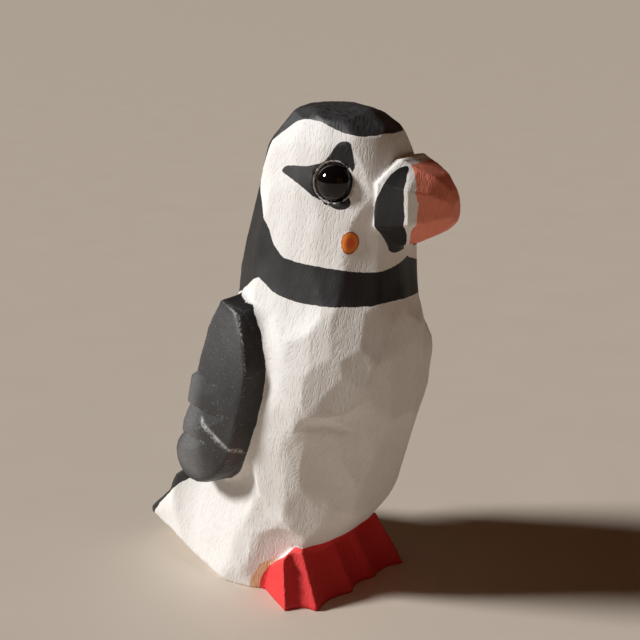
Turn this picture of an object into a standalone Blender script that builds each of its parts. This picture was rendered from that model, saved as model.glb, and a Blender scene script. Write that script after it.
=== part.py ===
"""Whittled wooden puffin: one carved block with two glass bead eyes.

The bird stands on its own feet, faces -Y and has its right wing on -X. The origin
is on the table plane, midway between the feet.
"""

import math
import random

import bmesh
import bpy
import numpy as np
from mathutils import Matrix, Vector
from mathutils.bvhtree import BVHTree

# Driving dimensions, in metres
HEIGHT = 0.081
EYE_BEAD_DIAMETER = 0.0060
EYE_BEAD_SUNK = 0.0010
EYE_SEAT_GAP = 0.0003
WING_RELIEF = 0.0019
KNIFE_CUT_DEPTH = 0.00065
TOE_GROOVE_DEPTH = 0.0012

# The figure is laid out in carving units, and this many of them make its height
UNITS_TALL = 81.0
UNIT = HEIGHT / UNITS_TALL

# Turns and places of the head
HEAD_TURN = math.radians(9.0)
NECK_BOTTOM, NECK_TOP = 53.0, 62.0

# Trunk and head, from the table up: height, front, back, half width, squareness
TRUNK_SECTIONS = (
    (-2.4, -2.6, 12.4, 12.4, 3.6),
    (4.0, -2.8, 13.0, 13.0, 3.4),
    (8.0, -3.6, 13.8, 12.6, 2.6),
    (13.0, -9.4, 15.6, 12.6, 2.2),
    (20.0, -12.4, 18.5, 14.2, 2.3),
    (26.0, -14.7, 19.5, 15.2, 2.2),
    (32.0, -16.9, 18.8, 15.8, 2.2),
    (38.0, -17.9, 17.4, 15.9, 2.2),
    (44.0, -18.5, 15.8, 15.1, 2.2),
    (50.0, -18.0, 15.6, 13.4, 2.2),
    (56.0, -16.2, 13.9, 11.5, 2.2),
    (61.0, -16.0, 12.2, 11.0, 2.3),
    (66.0, -16.0, 10.5, 10.5, 2.4),
    (70.0, -15.6, 10.1, 10.1, 2.4),
    (74.0, -14.5, 8.8, 9.0, 2.3),
    (77.4, -13.0, 7.2, 7.9, 2.2),
    (79.8, -10.7, 5.8, 6.1, 2.1),
    (81.4, -7.4, 2.8, 3.4, 2.0),
)
# Tail wedge, from inside the trunk to its tip: reach back, bottom, top, half width, squareness
TAIL_SECTIONS = (
    (4.0, -1.8, 30.0, 12.6, 9.0),
    (12.0, -1.8, 31.5, 13.4, 9.0),
    (20.5, 0.6, 25.0, 12.6, 7.0),
    (28.0, 2.6, 12.0, 10.0, 6.0),
    (34.8, 3.9, 5.7, 8.0, 6.0),
)
TAIL_SIDES = 12
# Beak, from inside the head to its tip: reach forward, bottom, top, half width, squareness, and
# how much further forward its top stands
BEAK_SECTIONS = (
    (9.0, 61.0, 73.5, 6.0, 2.3, 1.0),
    (12.2, 60.4, 74.4, 7.3, 2.3, 2.6),
    (13.2, 59.6, 75.2, 8.1, 2.3, 3.0),
    (18.4, 60.9, 74.0, 7.3, 2.3, 0.0),
    (20.8, 62.3, 71.8, 4.9, 2.3, 0.0),
    (22.5, 63.7, 69.5, 2.5, 2.3, 0.0),
    (23.2, 64.6, 67.8, 1.2, 2.3, 0.0),
)
BEAK_SIDES = 8

# Wings, seen from the side: back and height of each corner, front edge first, then clockwise
WING_OUTLINE = (
    (9.4, 50.8),
    (3.6, 49.8),
    (1.0, 46.8),
    (-0.8, 43.5),
    (-1.6, 41.0),
    (-1.2, 36.5),
    (0.2, 32.0),
    (2.2, 27.6),
    (4.0, 24.6),
    (6.6, 21.6),
    (9.6, 19.4),
    (13.6, 18.0),
    (18.6, 18.4),
    (21.3, 20.0),
    (21.7, 22.0),
    (19.3, 25.4),
    (18.2, 26.5),
    (17.0, 30.8),
    (16.3, 32.5),
    (15.9, 36.8),
    (13.6, 38.4),
    (13.3, 42.0),
    (13.0, 45.2),
)
WING_MIDDLE = (8.0, 34.0)
WING_BEVEL = 2.2
WING_BEVELLED_POINTS = 12
# How far the wing's face stands from the middle plane, and the reaches of its prism's levels
WING_FACE = max(half for _, _, _, half, _ in TRUNK_SECTIONS) + WING_RELIEF / UNIT
WING_ROOT, WING_BEVEL_START, WING_BEVEL_END, WING_CLEAR = 9.0, WING_FACE - 3.4, WING_FACE - 0.4, 30.0
WING_HULL_BOTTOM, WING_HULL_TOP = 13.0, 56.0
WING_SWEEP_TOP, WING_SWEEP_TIP, WING_SWEEP_RUN, WING_SWEEP_CURVE = 1.0, 5.6, 30.0, 1.5
WING_SQUARER = 0.5
# Feather steps: depth under the wing's face, back and height of each cut's deep corner, tip and
# foot, then the back and height of its blunt corner below the tip
FEATHER_CUTS = (
    ((4.2, 17.6, 38.6), (0.2, 7.2, 37.1), (1.6, 17.0, 31.8), (8.4, 35.3)),
    ((4.6, 20.4, 32.2), (0.05, 5.6, 32.5), (2.2, 20.4, 25.6), (8.2, 30.7)),
    ((5.2, 22.4, 26.4), (0.85, 11.0, 26.7), (3.0, 23.6, 19.4), (12.4, 23.8)),
)
# The slip of the knife across the wing: depth, back and height of its ends, and its half width
KNIFE_SLIP = ((0.7, 12.4, 30.4), (0.5, 4.9, 26.2))
KNIFE_SLIP_HALF = 0.55
FEATHER_CUT_CLEAR = 8.0

# Feet, from the right foot's outer toe to the left foot's: the tip of each toe on the table,
# side and back, then side, back and height of the top of its ridge
TOES = (
    (-14.0, -3.4, -12.0, -1.4, 7.8),
    (-10.8, -7.6, -9.3, -3.2, 8.8),
    (-1.9, -7.8, -1.5, -3.0, 8.8),
    (4.6, -7.4, 3.8, -3.0, 8.8),
    (12.2, -8.0, 10.6, -3.0, 8.8),
    (14.4, -5.2, 12.4, -1.6, 7.8),
)
# The heel on the table and at its top, and the middle inside the trunk that all tops run to
HEEL, HEEL_TOP = (9.9, 5.4), (9.9, 4.6, 3.0)
FEET_CORE, FEET_CORE_SHARE = (0.0, 2.0, 9.5), 0.25
TOE_TIP_HEIGHT = 0.6
BELOW_TABLE = 2.5
TOE_HOLLOW_STEPS = 4

# Eyes, in the head's own frame: how far forward and how high
EYE_FORWARD, EYE_RISE = -6.9, 70.4
BEAD_SIDES, BEAD_RINGS = 24, 14
SOCKET_SIDES, SOCKET_STEPS = 28, 8
SOCKET_CLEAR = 2.0

# Chips of the right half in rows: height, lift of the cut, share of the knife's depth, and the
# turn of each about the upright axis in degrees, where -90 faces forward and 180 faces right;
# the left half mirrors them
CHIP_ROWS = (
    (3.0, 0.0, 0.6, (-172.0,)),
    (14.0, 0.0, 1.0, (-100.0, -131.0, -169.0, 168.0)),
    (23.0, 0.0, 1.0, (-90.0, -141.0, -166.0, 170.0, 130.0)),
    (31.0, 0.0, 1.0, (-117.0, -152.0, 176.0, 135.0, 105.0)),
    (39.0, 0.0, 1.0, (-90.0, -110.0, -131.0, -147.0, -165.0, 178.0, 150.0, 120.0)),
    (47.0, 0.0, 1.0, (-93.0, -111.0, -128.0, -141.0, -159.0, 180.0, 157.0, 130.0, 104.0)),
    (59.5, 0.0, 1.1, (-96.0, -122.0, -146.0, -168.0, 168.0, 135.0, 104.0)),
    (68.5, 0.0, 1.7, (-136.0,)),
    (69.5, 6.0, 1.0, (-164.0, 164.0, 132.0, 100.0)),
    (72.0, 34.0, 0.9, (-103.0, -134.0, -166.0, 155.0, 115.0)),
    (70.0, 62.0, 1.0, (-120.0, 170.0, 105.0)),
    (68.0, 86.0, 1.0, (-90.0,)),
)
# Single flats cut after the rows, on both halves: turn and height of each one's middle, turn and
# lift of the way it faces, depth at its middle, and its half height and half width
KNIFE_FLATS = (
    (-173.0, 48.0, -201.0, 5.0, 0.25, 9.0, 3.4),
    (-176.0, 41.0, -201.0, 5.0, 0.25, 9.0, 3.4),
    (-181.0, 34.0, -201.0, 0.0, 0.25, 9.0, 3.4),
    (-188.0, 27.0, -202.0, -4.0, 0.25, 8.0, 3.4),
    (-167.0, 33.5, -178.0, 0.0, 0.40, 6.5, 3.0),
    (-190.0, 20.5, -165.0, -10.0, 0.40, 8.0, 8.0),
    (-152.0, 17.0, -138.0, -4.0, 0.45, 9.0, 10.0),
    (-185.0, 11.0, -148.0, -12.0, 0.30, 8.0, 9.0),
    (-227.0, 9.0, -190.0, 8.0, 1.30, 10.0, 8.0),
    (-215.0, 2.0, -166.0, -12.0, 0.40, 4.0, 3.0),
    (-208.0, 2.2, -151.0, -6.0, 1.20, 7.0, 8.0),
)
# The hand behind the knife: how far chips stray from their rows, and how much they lean
KNIFE_SEED = 7
CHIP_JITTER, CHIP_RISE_JITTER, CHIP_LEAN = 2.5, 0.6, 1.6
CHIP_DEPTH_SPREAD = (0.75, 1.25)
CHIP_TWIN_GAP = 8.0
# A chip's size, the share of a hollow that it follows, and how it runs out past its edge
CHIP_TALL, CHIP_WIDE = 11.0, 7.0
CHIP_FOLLOW = 1.1
CHIP_EDGE, CHIP_WIDE_SHARE, CHIP_FADE = 0.85, 1.3, 4.0
CHIP_FACING, CHIP_DEEPEST, FLAT_DEEPEST = 0.55, 1.3, 3.5
# Rays toward the upright axis start this far out, and the axis stands this far back
CAST_FROM = 60.0
AXIS_BACK = -1.0

# Ring and span counts of the lofts, and the sampling of the merged block
RING_POINTS = 64
SPAN_STEPS = 5
BLOCK_VOXEL = 0.55
CARVED_TRIANGLES = 5200


def catmull_rom(rows, steps):
    """The rows with steps - 1 smooth rows between each pair."""
    rows = np.array(rows, float)
    padded = np.vstack([2 * rows[0] - rows[1], rows, 2 * rows[-1] - rows[-2]])
    smooth = []
    for before, start, end, after in zip(padded, padded[1:], padded[2:], padded[3:]):
        for step in range(steps):
            t = step / steps
            smooth.append(
                0.5
                * (
                    2 * start
                    + (end - before) * t
                    + (2 * before - 5 * start + 4 * end - after) * t**2
                    + (3 * start - before - 3 * end + after) * t**3
                )
            )
    smooth.append(rows[-1])
    return smooth


def superellipse(half_u, half_v, squareness, points=RING_POINTS, start=0.0):
    """One ring about the origin, counter-clockwise, from so many steps past +u."""
    ring = []
    for index in range(points):
        angle = 2 * math.pi * (index + start) / points
        c, s = math.cos(angle), math.sin(angle)
        ring.append(
            (
                half_u * math.copysign(abs(c) ** (2 / squareness), c),
                half_v * math.copysign(abs(s) ** (2 / squareness), s),
            )
        )
    return ring


def head_turned(x, y, z):
    """A point of the upright figure, turned with the head above the neck."""
    share = min(max((z - NECK_BOTTOM) / (NECK_TOP - NECK_BOTTOM), 0.0), 1.0)
    angle = HEAD_TURN * share * share * (3 - 2 * share)
    c, s = math.cos(angle), math.sin(angle)
    return (x * c - y * s, x * s + y * c, z)


def loft(rings, name):
    """A closed body through the rings, in metres, with a flat face at each end."""
    body = bmesh.new()
    rows = [[body.verts.new(Vector(point) * UNIT) for point in ring] for ring in rings]
    count = len(rings[0])
    for low, high in zip(rows, rows[1:]):
        for index in range(count):
            after = (index + 1) % count
            body.faces.new((low[index], low[after], high[after], high[index]))
    body.faces.new(list(reversed(rows[0])))
    body.faces.new(rows[-1])
    bmesh.ops.recalc_face_normals(body, faces=body.faces)
    mesh = bpy.data.meshes.new(name)
    body.to_mesh(mesh)
    body.free()
    return mesh


def trunk_rings():
    rings = []
    for z, front, back, half, squareness in catmull_rom(TRUNK_SECTIONS, SPAN_STEPS):
        middle, reach = (front + back) / 2, (back - front) / 2
        ring = superellipse(half, reach, squareness)
        rings.append([head_turned(x, middle + y, z) for x, y in ring])
    return rings


def tail_rings():
    rings = []
    for y, bottom, top, half, squareness in TAIL_SECTIONS:
        middle, rise = (bottom + top) / 2, (top - bottom) / 2
        ring = superellipse(half, rise, squareness, TAIL_SIDES)
        rings.append([(x, y, middle + z) for x, z in ring])
    return rings


def beak_rings():
    rings = []
    for reach, bottom, top, half, squareness, lean in BEAK_SECTIONS:
        middle, rise = (bottom + top) / 2, (top - bottom) / 2
        ring = superellipse(half, rise, squareness, BEAK_SIDES, 0.5)
        leant = [(x, reach + lean * max(z / rise, 0) ** 2, middle + z) for x, z in ring]
        rings.append([head_turned(x, -forward, z) for x, forward, z in leant])
    return rings


def feet_rings():
    """Both feet in one block: toes and the hollows between them, then the heels."""
    low = with_hollows([Vector((x, y, TOE_TIP_HEIGHT)) for x, y, *_ in TOES])
    high = with_hollows([Vector(toe[2:]) for toe in TOES])
    for side in (1, -1):
        low.append(Vector((side * HEEL[0], HEEL[1], TOE_TIP_HEIGHT)))
        high.append(Vector((side * HEEL_TOP[0], HEEL_TOP[1], HEEL_TOP[2])))
    under = [Vector((point.x, point.y, -BELOW_TABLE)) for point in low]
    core = Vector(FEET_CORE)
    inside = [core + (point - core) * FEET_CORE_SHARE for point in high]
    return [[tuple(point) for point in outline] for outline in (under, low, high, inside)]


def with_hollows(ridges):
    """The ridges' points with a gouged hollow set back between each pair."""
    outline = [ridges[0]]
    for before, ridge in zip(ridges, ridges[1:]):
        along = (ridge - before).normalized()
        inward = Vector((-along.y, along.x, 0.0))
        for step in range(1, TOE_HOLLOW_STEPS):
            share = step / TOE_HOLLOW_STEPS
            depth = TOE_GROOVE_DEPTH / UNIT * math.sin(math.pi * share)
            outline.append(before.lerp(ridge, share) + inward * depth)
        outline.append(ridge)
    return outline


def wing_hull_rings():
    """The trunk grown by the wings' relief and swept back, for the wings to be cut from."""
    rings = []
    rows = [row for row in TRUNK_SECTIONS if WING_HULL_BOTTOM <= row[0] <= WING_HULL_TOP]
    for z, front, back, half, squareness in catmull_rom(rows, SPAN_STEPS):
        drop = (WING_HULL_TOP - z) / WING_SWEEP_RUN
        sweep = WING_SWEEP_TOP + WING_SWEEP_TIP * drop**WING_SWEEP_CURVE
        middle, reach = (front + back + sweep) / 2, (back + sweep - front) / 2
        ring = superellipse(half + WING_RELIEF / UNIT, reach, squareness + WING_SQUARER)
        rings.append([(x, middle + y, z) for x, y in ring])
    return rings


def wing_outline_rings(side):
    """A prism through the wing: full outline at the trunk, less its bevel further out."""
    middle = Vector(WING_MIDDLE)
    low = [Vector(point) for point in WING_OUTLINE]
    high = []
    for index, point in enumerate(low):
        bevel = WING_BEVEL if index < WING_BEVELLED_POINTS else 0.0
        high.append(point + (middle - point).normalized() * bevel)
    levels = ((WING_ROOT, low), (WING_BEVEL_START, low), (WING_BEVEL_END, high), (WING_CLEAR, high))
    return [[(side * reach, p.x, p.y) for p in outline] for reach, outline in levels]


def feather_cut_rings(side, deep, tip, foot, blunt):
    """A wedge that opens outward from one feather step, all its corners on the step's flat."""
    deep, tip, foot = (Vector((WING_FACE - depth, y, z)) for depth, y, z in (deep, tip, foot))
    flat = (tip - deep).cross(foot - deep)
    back, rise = blunt
    reach = deep.x - (flat.y * (back - deep.y) + flat.z * (rise - deep.z)) / flat.x
    corners = [deep, tip, Vector((reach, back, rise)), foot]
    low = [(side * corner.x, corner.y, corner.z) for corner in corners]
    high = [(x + side * FEATHER_CUT_CLEAR, y, z) for x, y, z in low]
    return [low, high]


def knife_slip_rings(side):
    """A slim square bar along the slip, half sunk in the wing."""
    rings = []
    ends = [Vector((side * (WING_FACE - depth), y, z)) for depth, y, z in KNIFE_SLIP]
    along = (ends[1] - ends[0]).normalized()
    outward = Vector((side, 0, 0))
    across = along.cross(outward).normalized() * KNIFE_SLIP_HALF
    for end in ends:
        ring = [end + across, end + outward, end - across, end - outward * KNIFE_SLIP_HALF]
        rings.append([tuple(point) for point in ring])
    return rings


def new_material(name, colour, roughness, metallic=0.0):
    material = bpy.data.materials.new(name)
    material.use_nodes = True
    shader = material.node_tree.nodes["Principled BSDF"]
    shader.inputs["Base Color"].default_value = (*colour, 1.0)
    shader.inputs["Roughness"].default_value = roughness
    shader.inputs["Metallic"].default_value = metallic
    return material


def new_object(name, mesh, collection, paint=None):
    """The mesh as an object, in one paint all over."""
    if paint:
        mesh.materials.clear()
        mesh.materials.append(paint)
    placed = bpy.data.objects.new(name, mesh)
    collection.objects.link(placed)
    return placed


def new_cutter(name, mesh, collection, paint=None):
    cutter = new_object(name, mesh, collection, paint)
    cutter.hide_render = True
    cutter.display_type = "WIRE"
    return cutter


def boolean(target, tool, operation):
    step = target.modifiers.new(f"{operation.title()} {tool.name}", "BOOLEAN")
    step.object = tool
    step.operation = operation
    step.solver = "EXACT"
    step.material_mode = "TRANSFER"


def baked_mesh(source, name):
    """The object's mesh with its modifiers applied, in world space."""
    bpy.context.view_layer.update()
    evaluated = source.evaluated_get(bpy.context.evaluated_depsgraph_get())
    mesh = bpy.data.meshes.new_from_object(evaluated)
    mesh.transform(source.matrix_world)
    mesh.name = name
    return mesh


def reskinned(mesh, collection, name):
    """The same closed form in small even faces, with what crosses inside it gone."""
    holder = new_cutter("reskinning", mesh, collection)
    remesh = holder.modifiers.new("Merge", "REMESH")
    remesh.mode = "VOXEL"
    remesh.voxel_size = BLOCK_VOXEL * UNIT
    result = baked_mesh(holder, name)
    bpy.data.objects.remove(holder)
    return result


def merged_block(collection):
    """Trunk, head and tail as one closed skin of small even faces."""
    whole = bmesh.new()
    for name, rings in (("trunk", trunk_rings()), ("tail", tail_rings())):
        piece = loft(rings, name)
        whole.from_mesh(piece)
        bpy.data.meshes.remove(piece)
    mesh = bpy.data.meshes.new("rough_block")
    whole.to_mesh(mesh)
    whole.free()
    return reskinned(mesh, collection, "merged_block")


def chip_turns():
    """Height, lift, depth share and turn of every chip, the left half mirrored from the right."""
    turns = []
    for height, lift, share, row in CHIP_ROWS:
        for turn in row:
            turns.append((height, lift, share, turn))
            mirrored = -180.0 - turn
            if abs(math.remainder(turn - mirrored, 360.0)) > CHIP_TWIN_GAP:
                turns.append((height, lift, share, mirrored))
    return turns


def chip_frames(tree):
    """Where the knife took each chip: its place, the ways it lies, hollows, depth and limits."""
    dice = random.Random(KNIFE_SEED)
    frames = []
    for height, lift, share, turn in chip_turns():
        z = height + dice.uniform(-CHIP_RISE_JITTER, CHIP_RISE_JITTER)
        outward = outward_way(turn + dice.uniform(-CHIP_JITTER, CHIP_JITTER), lift)
        axis = Vector((0.0, AXIS_BACK, z)) * UNIT
        frame = chip_frame(tree, axis, outward, share, dice)
        if frame:
            frames.append(frame)
    for middle_turn, z, facing_turn, lift, depth, tall, wide in KNIFE_FLATS:
        for around, facing in (
            (middle_turn, facing_turn),
            (-180.0 - middle_turn, -180.0 - facing_turn),
        ):
            frame = flat_frame(tree, around, z, facing, lift, depth, tall, wide)
            if frame:
                frames.append(frame)
    return frames


def outward_way(turn, lift):
    """The direction at a turn about the upright axis and a lift off the table, in degrees."""
    around, rise = math.radians(turn), math.radians(lift)
    level = Vector((math.cos(around), math.sin(around), 0.0))
    return level * math.cos(rise) + Vector((0, 0, 1)) * math.sin(rise)


def flat_frame(tree, turn, z, facing, lift, depth, tall, wide):
    """One flat that faces a given way, under the skin at its middle."""
    outward = outward_way(turn, 0.0)
    start = Vector((0.0, AXIS_BACK, z)) * UNIT + outward * CAST_FROM * UNIT
    place = tree.ray_cast(start, -outward)[0]
    if place is None:
        return None
    normal = outward_way(facing, lift)
    sideways = Vector((0, 0, 1)).cross(normal).normalized()
    upward = normal.cross(sideways)
    limits = (tall / CHIP_EDGE * UNIT, wide / CHIP_EDGE * UNIT, FLAT_DEEPEST * UNIT)
    return (place, normal, upward, sideways, 0.0, 0.0, depth * UNIT, *limits)


def chip_frame(tree, axis, outward, share, dice):
    """The flat that lies on the skin where the ray from outside meets it."""
    sideways = Vector((0, 0, 1)).cross(outward).normalized()
    upward = outward.cross(sideways)
    reach = outward * CAST_FROM * UNIT
    spread = {}
    for name, step in (
        ("middle", Vector()),
        ("up", upward * CHIP_TALL / 2),
        ("down", -upward * CHIP_TALL / 2),
        ("left", -sideways * CHIP_WIDE / 2),
        ("right", sideways * CHIP_WIDE / 2),
    ):
        start = axis + step * UNIT + reach
        hit = tree.ray_cast(start, -outward)[0]
        if hit is None:
            return None
        spread[name] = hit
    along = spread["up"] - spread["down"]
    across = spread["right"] - spread["left"]
    normal = across.cross(along).normalized()
    if normal.dot(outward) < 0:
        normal = -normal
    lean = math.radians(CHIP_LEAN)
    normal += sideways * dice.uniform(-lean, lean) + upward * dice.uniform(-lean, lean)
    normal.normalize()
    place = spread["middle"]
    sag_along = ((spread["up"] + spread["down"]) / 2 - place).dot(normal) / (along.length / 2) ** 2
    sag_across = ((spread["left"] + spread["right"]) / 2 - place).dot(normal)
    sag_across /= (across.length / 2) ** 2
    depth = KNIFE_CUT_DEPTH * share * dice.uniform(*CHIP_DEPTH_SPREAD)
    upward = (along - normal * along.dot(normal)).normalized()
    sideways = normal.cross(upward)
    limits = (CHIP_TALL * UNIT, CHIP_WIDE * CHIP_WIDE_SHARE * UNIT, CHIP_DEEPEST * UNIT)
    return (place, normal, upward, sideways, max(sag_along, 0), max(sag_across, 0), depth, *limits)


def skin_tree(mesh):
    """The mesh's skin, ready for rays to be cast on it."""
    shape = bmesh.new()
    shape.from_mesh(mesh)
    tree = BVHTree.FromBMesh(shape)
    shape.free()
    return tree


def whittle(mesh):
    """Takes each vertex down to the deepest chip over it, so the skin becomes flats."""
    tree = skin_tree(mesh)
    count = len(mesh.vertices)
    places, normals = np.empty(count * 3), np.empty(count * 3)
    mesh.vertices.foreach_get("co", places)
    mesh.vertex_normals.foreach_get("vector", normals)
    places, normals = places.reshape(-1, 3), normals.reshape(-1, 3)
    deepest = np.zeros(count)
    facing = np.ones(count)
    for frame in chip_frames(tree):
        place, normal, upward, sideways, hollow_up, hollow_side, depth, tall, wide, deep = frame
        offset = places - np.array(place)
        along, across = offset @ np.array(upward), offset @ np.array(sideways)
        over = offset @ np.array(normal) + depth
        over -= CHIP_FOLLOW * (hollow_up * along**2 + hollow_side * across**2)
        past_edge = np.maximum(np.hypot(along / tall, across / wide) - CHIP_EDGE, 0)
        over -= past_edge**2 * CHIP_FADE * UNIT
        dot = normals @ np.array(normal)
        over = np.where(dot > CHIP_FACING, np.minimum(over, deep), -1.0)
        better = over > deepest
        deepest = np.where(better, over, deepest)
        facing = np.where(better, dot, facing)
    places -= normals * (deepest / facing)[:, None]
    mesh.vertices.foreach_set("co", places.ravel())
    mesh.update()


def thinned(mesh, collection, triangles):
    """The same skin with long flat faces, down to about the given number of triangles."""
    holder = new_cutter("thinning", mesh, collection)
    mesh.calc_loop_triangles()
    thin = holder.modifiers.new("Thin", "DECIMATE")
    thin.ratio = triangles / len(mesh.loop_triangles)
    result = baked_mesh(holder, "carved_block")
    bpy.data.objects.remove(holder)
    return result


def table_cut_mesh():
    """A box below the table plane, for the flat underside."""
    box = bmesh.new()
    bmesh.ops.create_cube(box, size=HEIGHT * 2, matrix=Matrix.Translation((0, 0, -HEIGHT)))
    mesh = bpy.data.meshes.new("table_cut")
    box.to_mesh(mesh)
    box.free()
    return mesh


def add_wing(body, side, name, cutters, paint):
    hull = loft(wing_hull_rings(), f"{name}_wing_hull")
    wing = new_cutter(f"{name}_wing", hull, cutters, paint)
    outline = loft(wing_outline_rings(side), f"{name}_wing_outline")
    boolean(wing, new_cutter(f"{name}_wing_outline", outline, cutters, paint), "INTERSECT")
    for index, corners in enumerate(FEATHER_CUTS, 1):
        cut = f"{name}_feather_cut_{index}"
        wedge = new_cutter(cut, loft(feather_cut_rings(side, *corners), cut), cutters, paint)
        boolean(wing, wedge, "DIFFERENCE")
    slip = loft(knife_slip_rings(side), f"{name}_knife_slip")
    boolean(wing, new_cutter(f"{name}_knife_slip", slip, cutters, paint), "DIFFERENCE")
    boolean(body, wing, "UNION")


def eye_place(tree, side):
    """Where the bead's axis meets the head, and the way it faces."""
    start = Vector(head_turned(side * CAST_FROM, EYE_FORWARD, EYE_RISE)) * UNIT
    end = Vector(head_turned(0, EYE_FORWARD, EYE_RISE)) * UNIT
    place, normal = tree.ray_cast(start, (end - start).normalized())[:2]
    return place, normal


def add_eye(body, tree, side, name, parts, cutters, glass, black):
    place, normal = eye_place(tree, side)
    radius = EYE_BEAD_DIAMETER / 2
    stand = normal.to_track_quat("Z", "Y").to_matrix().to_4x4()
    stand.translation = place - normal * EYE_BEAD_SUNK

    ball = bmesh.new()
    bmesh.ops.create_uvsphere(ball, u_segments=BEAD_SIDES, v_segments=BEAD_RINGS, radius=radius)
    mesh = bpy.data.meshes.new(name)
    ball.to_mesh(mesh)
    ball.free()
    mesh.shade_smooth()
    bead = new_object(name, mesh, parts, glass)
    bead.matrix_world = stand

    pocket = socket_mesh(radius + EYE_SEAT_GAP)
    socket = new_cutter(f"{name}_socket", pocket, cutters, black)
    socket.matrix_world = stand
    boolean(body, socket, "DIFFERENCE")


def socket_mesh(radius):
    """A round-bottomed pocket that opens outward above the skin, turned about its own axis."""
    profile = []
    for step in range(1, SOCKET_STEPS + 1):
        angle = math.pi / 2 * step / SOCKET_STEPS
        profile.append((radius * math.sin(angle), -radius * math.cos(angle)))
    profile.append((radius, EYE_BEAD_SUNK))
    clear = SOCKET_CLEAR * UNIT
    profile.append((radius + clear, EYE_BEAD_SUNK + clear))
    rings = []
    for reach, height in profile:
        ring = superellipse(reach / UNIT, reach / UNIT, 2, SOCKET_SIDES)
        rings.append([(x, y, height / UNIT) for x, y in ring])
    return loft(rings, "socket")


def build():
    for leftover in list(bpy.data.objects):
        bpy.data.objects.remove(leftover)
    parts = bpy.data.collections.new("wooden_puffin")
    cutters = bpy.data.collections.new("cutters")
    for collection in (parts, cutters):
        bpy.context.scene.collection.children.link(collection)

    white = new_material("white_paint", (0.86, 0.84, 0.81), 0.62)
    black = new_material("black_paint", (0.028, 0.031, 0.035), 0.55)
    red = new_material("red_paint", (0.72, 0.035, 0.04), 0.6)
    orange = new_material("orange_paint", (0.72, 0.12, 0.06), 0.6)
    bare = new_material("bare_wood", (0.62, 0.42, 0.24), 0.7)
    glass = new_material("black_glass", (0.01, 0.01, 0.012), 0.05)

    merged = merged_block(cutters)
    whittle(merged)
    merged = reskinned(merged, cutters, "whittled_block")
    carved = thinned(merged, cutters, CARVED_TRIANGLES)
    body = new_object("puffin_body", carved, parts, white)
    tree = skin_tree(carved)

    for side, name in ((-1, "right"), (1, "left")):
        add_wing(body, side, name, cutters, black)
    boolean(body, new_cutter("feet", loft(feet_rings(), "feet"), cutters, red), "UNION")
    boolean(body, new_cutter("beak", loft(beak_rings(), "beak"), cutters, orange), "UNION")
    for side, name in ((-1, "right_eye"), (1, "left_eye")):
        add_eye(body, tree, side, name, parts, cutters, glass, black)
    boolean(body, new_cutter("table_cut", table_cut_mesh(), cutters, bare), "DIFFERENCE")


build()
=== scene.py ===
"""Looks of a whittled, hand-painted wooden puffin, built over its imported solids."""
import math
import random

import bmesh
import bpy
import numpy as np
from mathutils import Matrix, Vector, kdtree, noise
from mathutils.bvhtree import BVHTree


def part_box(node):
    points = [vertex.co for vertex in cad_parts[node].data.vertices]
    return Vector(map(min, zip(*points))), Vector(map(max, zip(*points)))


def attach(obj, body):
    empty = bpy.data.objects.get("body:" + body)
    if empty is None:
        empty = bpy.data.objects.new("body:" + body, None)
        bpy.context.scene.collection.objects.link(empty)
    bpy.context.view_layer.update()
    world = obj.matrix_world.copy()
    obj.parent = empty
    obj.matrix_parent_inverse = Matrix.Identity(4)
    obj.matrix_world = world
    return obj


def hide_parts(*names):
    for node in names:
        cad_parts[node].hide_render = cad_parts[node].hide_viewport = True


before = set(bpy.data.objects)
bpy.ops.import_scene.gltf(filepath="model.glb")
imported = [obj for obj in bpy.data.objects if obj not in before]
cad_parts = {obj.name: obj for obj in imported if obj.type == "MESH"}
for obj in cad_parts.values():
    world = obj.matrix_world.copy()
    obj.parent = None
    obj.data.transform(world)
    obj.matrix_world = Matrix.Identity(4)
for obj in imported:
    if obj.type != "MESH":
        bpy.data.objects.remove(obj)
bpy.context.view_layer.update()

# Sizes are in millimetres where no comment says otherwise. MM takes them to the frame's metres
MM = 0.001
# The least length that anything is divided by, and in metres the gap at which corners are one
TINY, MERGE_GAP = 1e-12, 1e-6
# The nodes of the two beads
EYES = ("right_eye", "left_eye")

# The head's turn on the neck, and the upright axis and radius that its paint is laid out round
HEAD_TURN = math.radians(9.0)
NECK_BOTTOM, NECK_TOP = 53.0, 62.0
AXIS_BACK = -1.0
HEAD_ROUND = 10.5

# Skin of the carved block: its cell, and how it keeps and softens the solid's edges
SKIN_CELL = 0.378
RIDGE_LEAST = math.radians(13.0)
RIDGE_CATCH, RIDGE_PULL = 0.19, 0.8
RIDGE_STEP = 0.1
SOFTENING = 0.12
# How the knife cuts are flattened: the bend that still counts as one cut, and the passes
CRISP_BEND, CRISP_PASSES, CRISP_MOVES = 0.085, 10, 12
FACET_BEND = math.radians(6.0)

# Knife work: hollow of each cut, swell of the grain, and how the cuts lean off the upright
SCOOP_DEPTH, SCOOP_RUN = 0.10, 1.8
SWELL_DEPTH, SWELL_WIDE, SWELL_LONG = 0.03, 1.3, 7.0
CUT_LEAN, CUT_LEAN_SPREAD = math.radians(14.0), math.radians(16.0)
# A cut that faces up or down more than this takes its grain from front to back
CUT_STEEP = 0.85
# Where in the noise each cut lies, drawn at random up to this far
CUT_SHIFT, CUT_SEED = 90, 11

# The white face, wrapped round the head: degrees round from the front, then height
FACE_OUTLINE = (
    (0, 77.3), (16, 77.3), (30, 77.0), (40, 77.3), (51, 77.8), (64, 78.6), (78, 79.0), (93, 79.1),
    (106, 78.9), (118, 78.4), (129, 77.3), (137, 76.0), (146, 73.4), (151, 70.6), (148, 67.4),
    (134, 64.8), (122, 62.2), (112, 59.8), (99, 58.3), (83, 57.8), (66, 57.6), (50, 57.4),
    (42, 57.2), (30, 57.0), (22, 57.0), (15, 57.3), (4, 58.2), (0, 58.6),
)
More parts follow.
